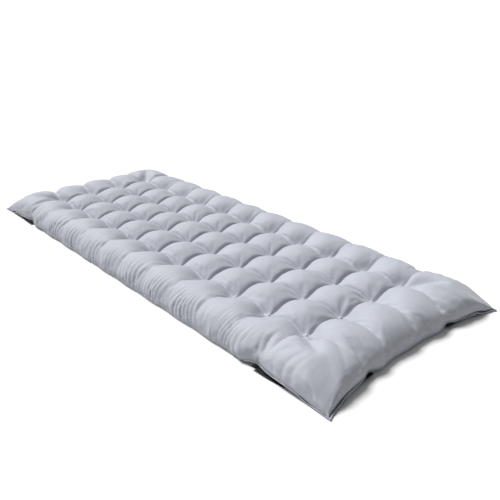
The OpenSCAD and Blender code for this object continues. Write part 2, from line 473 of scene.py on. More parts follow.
def floor_material(colour_of_floor):
    material, w, shader = new_material("Studio Floor")
    place = w.add("ShaderNodeTexCoord")
    grain = w.noise(place.outputs["Object"], 3)
    shade = w.ramp(grain, [c * 0.99 for c in colour_of_floor], colour_of_floor)
    w.join(shade, shader.inputs["Base Color"])
    shader.inputs["Roughness"].default_value = 0.9
    return material


# ---------------------------------------------------------------------------
# Cover panels
# ---------------------------------------------------------------------------


def cut_lines(pitch, spans, outer, cell):
    """Grid lines along one side: an even number between tufts, then on to the edge."""
    inner = pitch * spans / 2
    inside = np.linspace(-inner, inner, round(pitch / cell) * spans + 1)
    outside = np.linspace(inner, outer, round((outer - inner) / cell) + 1)[1:]
    return np.concatenate([-outside[::-1], inside, outside])


class CutPanel:
    """The grid of a cover panel as it is cut, and where each crossing goes in plan."""

    def __init__(self, shape):
        self.length, self.width = HALF_LENGTH - shape.flange, HALF_WIDTH - shape.flange
        xs = cut_lines(ROW_PITCH, 10, self.length, shape.cell)
        ys = cut_lines(CROSS_PITCH, 3, self.width, shape.cell)
        self.x, self.y = np.meshgrid(xs, ys, indexing="ij")
        self.end, self.side = self.shares(self.x, self.y)
        self.row = abs(np.cos(np.pi * self.x / ROW_PITCH))
        self.line = abs(np.cos(np.pi * (self.y / CROSS_PITCH + 0.5)))
        index = np.arange(self.x.size).reshape(self.x.shape)
        self.faces = grid_faces(index)
        self.ring = grid_rim(index)
        self.rim = np.ones_like(self.x, bool)
        self.rim[1:-1, 1:-1] = False

    def shares(self, x, y):
        """How far places lie from the last tufts to the short and the long edges, 0 to 1."""
        return (
            np.clip((abs(x) - END_ROW) / (self.length - END_ROW), 0, 1),
            np.clip((abs(y) - OUTER_LINE) / (self.width - OUTER_LINE), 0, 1),
        )

    def over_strap(self):
        """1 where the edge passes over a corner strap, 0 elsewhere."""
        along_side = smooth_step((abs(self.x) - 0.63) / 0.05) * smooth_step((0.85 - abs(self.x)) / 0.05)
        along_end = smooth_step((abs(self.y) - 0.12) / 0.04) * smooth_step((0.31 - abs(self.y)) / 0.04)
        return np.where(self.side >= self.end, along_side, along_end)

    def turns(self, shape):
        """How far round the roll turns from its top to the seam, at the ends and the sides."""
        less = 1 - 0.85 * self.over_strap()
        return (
            np.pi / 2 + shape.end_tuck * (1 - self.side) ** 2 * less,
            np.pi / 2 + shape.side_tuck * (1 - self.end) ** 2 * less,
        )

    def plan(self, shape, rolled=False, fullness=1.0):
        """Plan places: the edges curve and dip in. A rolled panel stands out past the seam and
        turns back to it; a flat one runs straight to the seam."""
        edge_x = self.length - shape.end_pull * (1 - (self.y / self.width) ** 2)
        edge_x = edge_x - shape.scallop * self.line**2 * (1 - self.side)
        edge_y = self.width - shape.side_pull * (1 - (self.x / self.length) ** 4)
        edge_y = edge_y - shape.scallop * self.row**2 * (1 - self.end)
        edge_x = edge_x - shape.strap_notch * np.exp(-(((abs(self.y) - STRAP_ON_END) / 0.022) ** 2))
        edge_y = edge_y - shape.strap_notch * np.exp(-(((abs(self.x) - STRAP_ON_SIDE) / 0.026) ** 2))
        reaches = []
        for share, most, line, edge in zip(
            (self.end, self.side), self.turns(shape), (END_ROW, OUTER_LINE), (edge_x, edge_y)
        ):
            out = (np.sin(share * most) / np.sin(most)) ** fullness if rolled else share
            reaches.append(line + (edge - line) * out)
        px = np.where(self.end > 0, np.sign(self.x) * reaches[0], self.x)
        py = np.where(self.side > 0, np.sign(self.y) * reaches[1], self.y)
        return px, py

    def seam_height(self, shape):
        zone = self.over_strap()
        at_tab = np.maximum(
            np.exp(-(((abs(self.x) - STRAP_ON_SIDE) / 0.03) ** 2)) * (self.side > 0.5),
            np.exp(-(((abs(self.y) - STRAP_ON_END) / 0.03) ** 2)) * (self.end > 0.5),
        )
        level = shape.seam + (shape.corner_seam - shape.seam) * zone
        level = level + (shape.tab_seam - level) * at_tab
        return level - (shape.seam - shape.tip) * (self.end * self.side) ** 3

    def tuft_distance(self, x=None, y=None):
        x, y = (self.x if x is None else x), (self.y if y is None else y)
        near = np.full(x.shape, 1.0)
        for tuft_x, tuft_y in TUFTS:
            near = np.minimum(near, np.hypot(x - tuft_x, y - tuft_y))
        return near

    def outside(self):
        return (self.end > 0) | (self.side > 0)


def cone(distance, radius, power):
    return np.clip(1 - distance / radius, 0, 1) ** power


def smooth_step(value):
    value = np.clip(value, 0, 1)
    return value * value * (3 - 2 * value)


def top_start(cut, shape):
    """The top cover before it is inflated: domes, creases and the edge roll."""
    row, line = cut.row, cut.line
    inner = shape.dome - (shape.dome - shape.crease) * np.maximum(row, line) ** 2
    inner = inner - (shape.crease - shape.tuft) * np.minimum(row, line) ** 4
    across = np.where(cut.end > 0, np.where(cut.side > 0, 1.0, line), row)
    band = np.maximum(cut.end, cut.side)
    at_line = shape.crease - (shape.crease - shape.tuft) * across**4
    rise = smooth_step(band / 0.22)
    crest = at_line + (shape.roll - 0.010 * across**2 - at_line) * rise
    at_corner = shape.tuft + (shape.roll - shape.tuft) * rise
    crest = np.where((cut.end > 0) & (cut.side > 0), at_corner, crest)
    falls, under = [], np.zeros_like(row)
    for share, most in zip((cut.end, cut.side), cut.turns(shape)):
        falls.append(np.clip(np.cos(np.clip(share * most, 0, np.pi / 2)), 0.02, 1) ** 0.78)
        below = (share * most - np.pi / 2) / np.maximum(most - np.pi / 2, 0.02)
        under = np.maximum(under, np.clip(below, 0, 1))
    ridge = 8
    fall = (falls[0] ** -ridge + falls[1] ** -ridge - 1) ** (-1 / ridge)
    fall = np.where((cut.end >= 1) | (cut.side >= 1), 0, fall)
    seam = cut.seam_height(shape)
    widest = seam + shape.bulge * (1 - (cut.end * cut.side)) * (1 - under)
    outer = widest + (crest - widest) * fall
    return np.where(cut.outside(), outer, inner)


def taper_ears(cut, shape, x, y, z):
    """Keeps each corner below a slope that runs down to its tip."""
    apart = np.hypot(cut.length - abs(x), cut.width - abs(y))
    cap = shape.tip + shape.ear_slope * apart
    over = z - cap
    eased = cap + np.where(over > 0, 0, over) - 0.003 * np.exp(-np.abs(over) / 0.006)
    near = cut.outside() & (apart < 0.2)
    return np.where(near & ~cut.rim, np.maximum(eased, shape.tip + 0.0005), z)


def valley(apart, width):
    return np.exp(-apart / width)


def crease_top(cut, shape, points):
    """Draws the inflated cloth into the creases: between the tufts, out over the roll from the
    edge tufts, and from each corner tuft towards its tip."""
    x, y = cut.x, cut.y
    z = points[..., 2]
    above = np.clip(z - shape.tallest + 0.006, 0, None)
    z = np.where(above > 0, shape.tallest - 0.006 + 0.010 * np.tanh(above / 0.010), z)
    sway = 0.004 * lattice_noise(x / 0.07, y / 0.07, 31)
    to_row = abs((x + sway) - np.round((x + sway) / ROW_PITCH) * ROW_PITCH)
    shifted = (y + sway) / CROSS_PITCH + 0.5
    to_line = abs(shifted - np.round(shifted)) * CROSS_PITCH
    inside = (cut.end <= 0) & (cut.side <= 0)
    depth = np.zeros_like(z)
    across_rows = np.where(cut.end <= 0, valley(to_row, 0.0055), 0)
    across_lines = np.where(cut.side <= 0, valley(to_line, 0.0055), 0)
    depth = np.where(inside, shape.fold_in * np.maximum(across_rows, across_lines), depth)
    fade_side = np.clip(1 - cut.side / 0.75, 0, 1) ** 1.3
    fade_end = np.clip(1 - cut.end / 0.95, 0, 1) ** 0.8
    over_side = shape.fold_in * 0.45 * valley(to_row, 0.008) * fade_side
    depth = np.where((cut.side > 0) & (cut.end <= 0), over_side, depth)
    # The creases over the short rolls lean to one side as they run out.
    lean = y + np.sign(x) * (0.055 + 0.02 * lattice_noise(y / 0.14, x * 0, 61)) * cut.end
    shifted = lean / CROSS_PITCH + 0.5
    to_lean = abs(shifted - np.round(shifted)) * CROSS_PITCH
    over_end = shape.fold_in * 1.9 * valley(to_lean, 0.009) * fade_end
    depth = np.where((cut.end > 0) & (cut.side <= 0), over_end, depth)
    # From each corner tuft towards its tip.
    reach_x, reach_y = abs(points[..., 0]) - END_ROW, abs(points[..., 1]) - OUTER_LINE
    along = reach_x * 0.81 + reach_y * 0.586
    apart = abs(reach_x * 0.586 - reach_y * 0.81)
    floor = shape.tuft - 0.008 * smooth_step(along / 0.03) + 0.30 * along
    diagonal = np.clip(z - floor, 0, 1) * valley(apart, 0.015)
    ridge = 0.0055 * valley(apart, 0.012) * smooth_step((along - 0.17) / 0.05)
    both = (cut.end > 0) & (cut.side > 0)
    depth = np.where(both, diagonal - ridge * (1 - np.maximum(cut.end, cut.side)) ** 0.3, depth)
    pits = np.exp(-((cut.tuft_distance() / 0.017) ** 1.5))
    z = z - depth * (1 - pits)
    points[..., 2] = z * (1 - pits) + np.minimum(z, shape.tuft) * pits
    return points


def corner_lift(cut):
    """1 where the underside stands clear over a corner strap, 0 elsewhere."""
    end = np.clip(1 - (END_ROW - abs(cut.x)) / ROW_PITCH, 0, 1)
    side = np.clip(1 - (OUTER_LINE - abs(cut.y)) / CROSS_PITCH, 0, 1)
    return smooth_step(end) * smooth_step(side)


def bottom_start(cut, shape):
    """The bottom cover before it is pressed down: flat, with pockets, rising to the edge seam."""
    seam = cut.seam_height(shape) - 0.0016
    along = (abs(cut.x) - END_ROW) * 0.81 + (abs(cut.y) - OUTER_LINE) * 0.586
    lift = 0.0009 + 0.023 * corner_lift(cut) * (1 - smooth_step((along - 0.21) / 0.04))
    rise = smooth_step((np.maximum(cut.end, cut.side) - 0.72) / 0.28)
    height = lift * (1 - rise) + seam * rise
    pits = cone(cut.tuft_distance(), 0.055, 1.8)
    return height * (1 - pits) + shape.pocket * pits


def inflate(piece, cut, feel, shape, spare_scale=1.0):
    """Runs the cloth simulation on the piece, with its edge and tufts held, and applies it."""
    held = cut.rim | (cut.tuft_distance() < 0.6 * shape.cell)
    group = piece.vertex_groups.new(name="held")
    group.add([int(i) for i in np.flatnonzero(held.ravel())], 1.0, "REPLACE")
    inner = piece.vertex_groups.new(name="inner")
    share = 1 - np.clip(np.maximum(cut.end, cut.side) * 3, 0, 1).ravel()
    steps = np.round(share * 10)
    for step in range(11):
        chosen = np.flatnonzero(steps == step)
        if len(chosen):
            inner.add([int(i) for i in chosen], step / 10, "REPLACE")
    cloth = piece.modifiers.new("Cloth", "CLOTH")
    feel_of = cloth.settings
    feel_of.vertex_group_mass = "held"
    feel_of.vertex_group_shrink = "inner"
    feel_of.shrink_min = -feel.spare_edge * spare_scale
    feel_of.shrink_max = -feel.spare * spare_scale
    feel_of.quality = 5
    feel_of.mass = 0.03
    feel_of.air_damping = 2
    feel_of.tension_stiffness = feel_of.compression_stiffness = feel.stretch
    feel_of.shear_stiffness = feel.shear
    feel_of.bending_stiffness = feel.bending
    feel_of.tension_damping = feel_of.compression_damping = feel_of.shear_damping = 5
    feel_of.bending_damping = 0.5
    feel_of.use_pressure = True
    feel_of.uniform_pressure_force = feel.pressure
    feel_of.effector_weights.gravity = 0
    cloth.collision_settings.use_collision = False
    cloth.collision_settings.use_self_collision = False
    cloth.point_cache.frame_start = 1
    cloth.point_cache.frame_end = feel.frames
    for step in range(1, feel.frames + 1):
        bpy.context.scene.frame_set(step)
    apply_modifiers(piece)
    bpy.context.scene.frame_set(1)
    return piece


def pleats(piece, shape, feel, cut):
    """Fine pleats on the edge roll, and small puckers round each tuft, along the normals."""
    places = read_cut_place(piece)
    x, y = places[:, 0], places[:, 1]
    end, side = cut.shares(x, y)
    points, normals = points_of(piece), read_vectors(piece.data.vertices, "normal")

    def ridges(along, over, pitch, seed):
        sway = 0.010 * np.sin(over * 4.2 + 1.5 * lattice_noise(along / 0.11, over * 0 + seed, seed))
        sway = sway + 0.006 * lattice_noise(along / 0.05, over * 2.5, seed + 3)
        phase = (along + sway) / pitch + 1.3 * lattice_noise(along / 0.085, over * 0.9, seed + 7)
        wave = np.abs(np.sin(np.pi * phase))
        strength = np.clip(0.55 + 0.75 * lattice_noise(along / 0.030, over * 1.7, seed + 11), 0.05, 1.2)
        small = 0.25 * lattice_noise(along / 0.0075, over * 2.2, seed + 13)
        return (np.sqrt(wave + 0.02) - 0.75) * strength + small * (1.2 - strength)

    band = smooth_step((side - 0.22) / 0.30) * np.clip((1.0 - side) / 0.04, 0, 1)
    band = band * (1 - 0.9 * np.clip(end * 2.6, 0, 1))
    shift = band * ridges(x, side, feel.pleat_pitch, 1.0) * feel.pleat
    end_band = np.clip((end - 0.15) / 0.25, 0, 1) * np.clip((1.0 - end) / 0.05, 0, 1)
    end_band = end_band * (1 - 0.8 * np.clip(side * 1.4, 0, 1))
    near_line = abs(np.cos(np.pi * (y / CROSS_PITCH + 0.5))) ** 3
    shift += end_band * ridges(y, end, feel.pleat_pitch * 1.6, 2.0) * feel.pleat * (0.35 + near_line)
    # Puckers that fan out from each tuft.
    near = np.full(len(x), 1.0)
    angle = np.zeros(len(x))
    for tuft_x, tuft_y in TUFTS:
        apart = np.hypot(x - tuft_x, y - tuft_y)
        closer = apart < near
        near = np.where(closer, apart, near)
        facing = np.arctan2(y - tuft_y, x - tuft_x) + tuft_x * 17 + tuft_y * 29
        angle = np.where(closer, facing, angle)
    fan = smooth_step(near / 0.012) * np.clip(1 - near / 0.066, 0, 1)
    turned = angle + 0.45 * lattice_noise(x / 0.045, y / 0.045, 5)
    for lobes, seed in ((3.5, 41), (6.0, 43)):
        ray = np.exp(-(np.sin(turned * lobes + seed) ** 2) / 0.05)
        depth = 0.55 + 0.45 * lattice_noise(turned * 2.2, near * 0 + seed, seed)
        shift -= fan * ray * depth * 0.0021
    shift += 0.0005 * lattice_noise(x / 0.022, y / 0.022, 9)
    shift += 0.0009 * lattice_noise(x / 0.06, y / 0.05, 12)
    edge = np.clip((1 - np.maximum(end, side)) / 0.03, 0, 1)
    move_points(piece, points + normals * (shift * edge)[:, None])
    return piece


def sharpen(piece, shape, cut):
    """Closes the creases of the refined top cover to narrow folds."""
    places, points = read_cut_place(piece), points_of(piece)
    x, y = places[:, 0], places[:, 1]
    end, side = cut.shares(x, y)
    to_row = abs(x - np.round(x / ROW_PITCH) * ROW_PITCH)
    shifted = y / CROSS_PITCH + 0.5
    to_line = abs(shifted - np.round(shifted)) * CROSS_PITCH
    rows = np.exp(-((to_row / 0.0030) ** 2)) * (end <= 0.001) * np.clip(1 - side / 0.35, 0, 1)
    lines = np.exp(-((to_line / 0.0030) ** 2)) * (side <= 0.001) * np.clip(1 - end / 0.35, 0, 1)
    away = np.clip((cut.tuft_distance(x, y) - 0.004) / 0.010, 0, 1)
    points[:, 2] -= shape.fold_in * 0.65 * np.maximum(rows, lines) * away
    move_points(piece, points)


def thicken(piece, thickness):
    """Gives the cloth its thickness, on its inner side."""
    modifier = piece.modifiers.new("Thickness", "SOLIDIFY")
    modifier.thickness = thickness
    modifier.offset = -1
    return apply_modifiers(piece)


def make_panel(name, cut, plan, height, shape, feel, faces_up, spare_scale=1.0):
    faces = cut.faces if faces_up else cut.faces[:, ::-1]
    piece = new_object(name, np.stack([*plan, height], -1), faces)
    keep_cut_place(piece, np.stack([cut.x, cut.y, np.zeros_like(cut.x)], -1))
    inflate(piece, cut, feel, shape, spare_scale)
    return piece


class PadStore:
    """Surfaces that later pieces are fitted between, kept while the script runs."""

    cut = None
    top = None
    bottom = None


class PAD_OT_covers(bpy.types.Operator):
    """Make the top and bottom cover panels as inflated, tufted cloth"""

    bl_idname = "pad.covers"
    bl_label = "Cover Panels"

    def execute(self, context):
        shape, feel, finish, _ = settings()
        cut = CutPanel(shape)
        grid = (*cut.x.shape, 3)
        top_plan = cut.plan(shape, True, 0.92)
        first = taper_ears(cut, shape, *top_plan, top_start(cut, shape))
        top = make_panel("top_cover", cut, top_plan, first, shape, feel, True)
        rest = bottom_start(cut, shape)
        bottom = make_panel("bottom_cover", cut, cut.plan(shape), rest, shape, feel, False, 0.3)
        high = crease_top(cut, shape, points_of(top).reshape(grid))
        high[..., 2] = taper_ears(cut, shape, high[..., 0], high[..., 1], high[..., 2])
        low = points_of(bottom).reshape(grid)
        low[..., 2] = np.clip(low[..., 2], np.maximum(rest - 0.004, 0.0006), rest + 0.010)
        low[..., 2] = np.where(cut.rim, rest, np.minimum(low[..., 2], high[..., 2] - 0.003))
        PadStore.cut, PadStore.top, PadStore.bottom = cut, high.copy(), low.copy()
        move_points(top, high)
        move_points(bottom, low)
        for piece in (top, bottom):
            refine(piece)
        pleats(top, shape, feel, cut)
        sharpen(top, shape, cut)
        flat = points_of(bottom)
        pleats(bottom, shape, feel, cut)
        lowered = points_of(bottom)
        # The underside stays smooth over the straps.
        past = np.abs(read_cut_place(bottom)[:, :2]) - (END_ROW, OUTER_LINE)
        lowered += (flat - lowered) * smooth_step(past.min(1) / 0.05 + 1)[:, None]
        lowered[:, 2] = np.maximum(lowered[:, 2], np.minimum(flat[:, 2], 0.0006))
        move_points(bottom, lowered)
        weave = woven_material("Cover Twill", finish.cloth, finish.cloth_dark, finish.rib, "cut_place")
        for piece, panel in ((top, "top_panel"), (bottom, "bottom_panel")):
            thicken(piece, shape.thickness)
            piece.data.materials.clear()
            piece.data.materials.append(weave)
            across_the_fold(piece)
            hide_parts(f"{panel}_head", f"{panel}_foot")
        return {"FINISHED"}


# ---------------------------------------------------------------------------
# Batting
# ---------------------------------------------------------------------------


def neighbours(heights, choose, reach):
    """The lowest or highest height among the crossings around each one."""
    for _ in range(reach):
        for axis in (0, 1):
            wide = np.pad(heights, [(1, 1) if a == axis else (0, 0) for a in (0, 1)], mode="edge")
            before = np.take(wide, range(0, heights.shape[axis]), axis)
            after = np.take(wide, range(2, heights.shape[axis] + 2), axis)
            heights = choose(heights, choose(before, after))
    return heights


class PAD_OT_batting(bpy.types.Operator):
    """Fill the covers with three layers of fibre batting"""

    bl_idname = "pad.batting"
    bl_label = "Fibre Batting"

    def execute(self, context):
        shape, _, finish, _ = settings()
        cut = PadStore.cut
        if cut is None:
            raise RuntimeError("the covers are made before the batting")
        material = fibre_material(finish.fibre)
        sunk_top, sunk_bottom = PadStore.top.copy(), PadStore.bottom.copy()
        sunk_top[..., 2] = neighbours(sunk_top[..., 2], np.minimum, 2) - 0.0035
        sunk_bottom[..., 2] = neighbours(sunk_bottom[..., 2], np.maximum, 2) + 0.0025
        straight = cut.plan(shape)
        for axis, share, line in ((0, cut.end, END_ROW), (1, cut.side, OUTER_LINE)):
            for surface in (sunk_top, sunk_bottom):
                most = np.abs(straight[axis])
                edge = line + (most - line) / np.clip(share, 1e-6, None)
                limit = np.where(share > 0, edge - 0.010, 10)
                flat = surface[..., axis]
                surface[..., axis] = np.sign(flat) * np.minimum(np.abs(flat), limit)
        inset = slice(3, -3, 2)
        top, bottom = sunk_top[inset, inset], sunk_bottom[inset, inset]
        centre_z = (top[..., 2] + bottom[..., 2]) / 2
        top[..., 2] = np.maximum(top[..., 2], centre_z + 0.0006)
        bottom[..., 2] = np.minimum(bottom[..., 2], centre_z - 0.0006)
        room = top[..., 2] - bottom[..., 2]
        for number_of_layer, layer in enumerate(LAYERS):
            surfaces = []
            for share, nudge in ((number_of_layer / 3, 0.01), ((number_of_layer + 1) / 3, -0.01)):
                level = share + nudge
                place = bottom * (1 - level) + top * level
                fluff = 0.0012 * lattice_noise(
                    place[..., 0] / 0.02, place[..., 1] / 0.02, 20 + number_of_layer
                )
                place[..., 2] += fluff * np.clip(room / 0.04, 0, 1) * (0 < share < 1)
                surfaces.append(place)
            nx, ny = room.shape
            index = np.arange(nx * ny).reshape(nx, ny)
            quads, ring, count = grid_faces(index), grid_rim(index), nx * ny
            after = np.roll(ring, -1)
            walls = np.stack([ring, after, after + count, ring + count], -1)
            faces = np.concatenate([quads[:, ::-1], quads + count, walls])
            verts = np.concatenate([s.reshape(-1, 3) for s in surfaces])
            piece = new_object(f"{layer}_fibre", verts, faces)
            piece.data.materials.append(material)
            across_the_fold(piece)
            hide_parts(f"{layer}_head", f"{layer}_foot")
        return {"FINISHED"}


# ---------------------------------------------------------------------------
# Edge seam
# ---------------------------------------------------------------------------


def edge_route():
    """The joined edge of the two covers: its places and its outward directions."""
    ring = PadStore.cut.ring
    places = (PadStore.top.reshape(-1, 3)[ring] + PadStore.bottom.reshape(-1, 3)[ring]) / 2
    ahead, behind = np.roll(places, -1, axis=0), np.roll(places, 1, axis=0)
    along = ahead - behind
    along[:, 2] = 0
    along /= np.linalg.norm(along, axis=1)[:, None]
    outward = np.stack([along[:, 1], -along[:, 0], np.zeros(len(along))], -1)
    return places, outward


class PAD_OT_edge(bpy.types.Operator):
    """Sew the covers together: a turned edge all the way round, with its stitching"""

    bl_idname = "pad.edge"
    bl_label = "Edge Seam"

    def execute(self, context):
        shape, _, finish, _ = settings()
        places, outward = edge_route()
        reach = shape.flange
        corner = np.linalg.norm(np.roll(outward, 1, axis=0) - outward, axis=1)
        mitre = 1 + 0.42 * np.clip(corner * 1.4, 0, 1)
        profile = [
            (-0.0012, -0.0014), (0.30 * reach, -0.0015), (0.80 * reach, -0.0011), (reach, 0.0),
            (0.80 * reach, 0.0011), (0.30 * reach, 0.0015), (-0.0012, 0.0014),
        ]
        sides, count = len(profile), len(places)
        ripple = 0.0004 * np.sin(np.arange(count) * 2.1) + 0.0004 * np.sin(np.arange(count) * 0.77)
        verts = np.concatenate([
            places + outward * (a * mitre)[:, None] + np.array([0, 0, 1.0]) * (b + ripple)[:, None]
            for a, b in profile
        ]).reshape(sides, count, 3)
        index = np.arange(sides * count).reshape(sides, count)
        quads = []
        for k in range(sides):
            here, there = index[k], index[(k + 1) % sides]
            quads.append(np.stack([here, np.roll(here, -1), np.roll(there, -1), there], -1))
        piece = new_object("edge_seam", verts, np.concatenate(quads)[:, ::-1])
        keep_cut_place(piece, verts.reshape(-1, 3) * np.array([1, 1, 0]))
        piece.data.materials.append(
            woven_material("Seam Twill", finish.cloth, finish.cloth_dark, finish.rib, "cut_place")
        )
        across_the_fold(piece)
        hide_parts("edge_seam_head", "edge_seam_foot")
        self.stitch(places, outward, reach, finish)
        return {"FINISHED"}

    def stitch(self, places, outward, reach, finish):
        """Short thread stitches along the turned edge, above and below it."""
        steps = np.linalg.norm(np.roll(places, -1, axis=0) - places, axis=1)
        run = np.concatenate([[0], np.cumsum(steps)])
        closed = np.concatenate([places, places[:1]])
        facing = np.concatenate([outward, outward[:1]])
        pitch, share, radius = 0.0050, 0.70, 0.00045
        parts = []
        for k in range(int(run[-1] / pitch)):
            ends = []
            for spot in (k * pitch, (k + share) * pitch):
                at = [np.interp(spot, run, closed[:, c]) for c in range(3)]
                out = np.array([np.interp(spot, run, facing[:, c]) for c in range(3)])
                ends.append((np.array(at) + out * reach * 0.45, out))
            for side in (1, -1):
                lift = np.array([0, 0, side * 0.0015])
                a, b = ends[0][0] + lift, ends[1][0] + lift
                mid = (a + b) / 2 + lift * 0.25
                path = [a, mid, b]
                across = [ends[0][1], (ends[0][1] + ends[1][1]) / 2, ends[1][1]]
                up = [np.array([0, 0, 1.0])] * 3
                square = [(radius, 0), (0, radius), (-radius, 0), (0, -radius)]
                parts.append(tube_along(path, across, up, square))
        verts, faces = gather(parts)
        piece = new_object("edge_stitching", verts, faces)
        piece.data.materials.append(thread_material(finish.thread))
        across_the_fold(piece)


# ---------------------------------------------------------------------------
# Tufts
# ---------------------------------------------------------------------------


def thread_material(colour_of_thread):
    name = "Sewing Thread"
    if name in bpy.data.materials:
        return bpy.data.materials[name]
    dark = [c * 0.7 for c in colour_of_thread]
    return woven_material(name, colour_of_thread, dark, 0.0009, None, 0.6, 0.1)


def loop_of_thread(centre, half, height, radius, lean, steps=9, sides=6):
    """One arched stitch of a bar tack along Y, leaning by lean along X."""
    path, across, up = [], [], []
    for step in range(steps):
        angle = math.pi * step / (steps - 1)
        y = -half * math.cos(angle)
        z = height * math.sin(angle)
        path.append(np.array(centre) + np.array([lean * math.cos(angle), y, z]))
        tangent = np.array([-lean * math.sin(angle), half * math.sin(angle), height * math.cos(angle)])
        tangent = tangent / max(np.linalg.norm(tangent), 1e-9)
        side = np.array([1.0, 0, 0])
        across.append(side)
        up.append(np.cross(side, tangent))
    ring = [
        (radius * math.cos(2 * math.pi * k / sides), radius * math.sin(2 * math.pi * k / sides))
        for k in range(sides)
    ]
    return tube_along(path, across, up, ring)


def twisted_thread(foot, head, radius, turns, steps=18, sides=8):
    """A two-ply thread from foot to head: an eight-sided tube with a twisted, waisted section."""
    path, across, up = [], [], []
    for step in range(steps):
        share = step / (steps - 1)
        angle = 2 * math.pi * turns * share
        path.append(np.array(foot) * (1 - share) + np.array(head) * share)
        across.append(np.array([math.cos(angle), math.sin(angle), 0]))
        up.append(np.array([-math.sin(angle), math.cos(angle), 0]))
    ring = []
    for k in range(sides):
        turn = 2 * math.pi * k / sides
        reach = radius * (0.78 + 0.22 * abs(math.cos(turn)))
        ring.append((reach * math.cos(turn), reach * math.sin(turn)))
    return tube_along(path, across, up, ring)


class PAD_OT_tufts(bpy.types.Operator):
    """Stitch the rows of tufts: a thread through the pad and a bar tack on each face"""

    bl_idname = "pad.tufts"
    bl_label = "Tufts"

    def execute(self, context):
        shape, _, finish, _ = settings()
        material = thread_material(finish.thread)
        for row, x in zip(ROW_NODES, TUFT_X):
            parts = []
            for y in TUFT_Y:
                parts.append(twisted_thread(
                    (x, y, shape.pocket - 0.0008), (x, y, shape.tuft + 0.0008), 0.0011, 5
                ))
                for height, arch in ((shape.tuft + 0.0002, 0.0016), (shape.pocket - 0.0009, -0.0016)):
                    for k in range(5):
                        centre = (x + (k - 2) * 0.00062, y, height)
                        parts.append(loop_of_thread(centre, 0.0032, arch, 0.00036, 0.0003))
            verts, faces = gather(parts)
            piece = new_object(f"{row}_stitches", verts, faces)
            piece.data.materials.append(material)
            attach(piece, "head_half" if x < FOLD_X else "foot_half")
            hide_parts(row)
        return {"FINISHED"}


# ---------------------------------------------------------------------------
# Corner straps
# ---------------------------------------------------------------------------


def corner_piece(name, verts, faces, corner):
    """A piece made for the foot's left corner, turned over to the corner that it is for."""
    x_side, y_side = CORNERS[corner]
    if x_side * y_side < 0:
        faces = [face[::-1] for face in faces]
    return new_object(name, np.array(verts) * (x_side, y_side, 1), faces)


def strap_measures():
    """Width, thickness, both sewn ends and the heights of a strap, from its solid."""
    low, high = STRAP_BOX
    width, thick = 0.020, 0.0012
    start = (low[0], high[1] - width / 2)
    end = (high[0] - width / 2, low[1])
    return width, thick, start, end, low[2], TAB_BOX[0][2]


def strap_path(steps):
    """The route of the foot's left strap: a quarter of a full oval that drops to the ground."""
    width, thick, start, end, rest, root = strap_measures()
    places = []
    for step in range(steps + 1):
        angle = math.pi / 2 * step / steps
        s, c = math.sin(angle), math.cos(angle)
        drop = min(1.0, math.sin(2 * angle) / 0.62)
        drop = drop * drop * (3 - 2 * drop)
        level = rest + thick / 2
        top = root + thick / 2
        places.append((
            start[0] + (end[0] - start[0]) * s**0.74,
            end[1] + (start[1] - end[1]) * max(c, 0.0) ** 0.74,
            level + (top - level) * (1 - drop),
        ))
    return np.array(places), width, thick


def elastic_profile(width, thick, ribs=9):
    """Outline of ribbed elastic: flat cords side by side, with rounded selvedges."""
    outline = []
    for side in (1, -1):
        for k in range(ribs * 4 + 1):
            share = k / (ribs * 4)
            a = (share - 0.5) * width * (1 if side > 0 else -1)
            rib = abs(math.sin(math.pi * ribs * share)) ** 0.6
            edge = min(1.0, 8 * min(share, 1 - share) + 0.45)
            outline.append((a, side * thick / 2 * edge * (0.74 + 0.26 * rib)))
    return outline


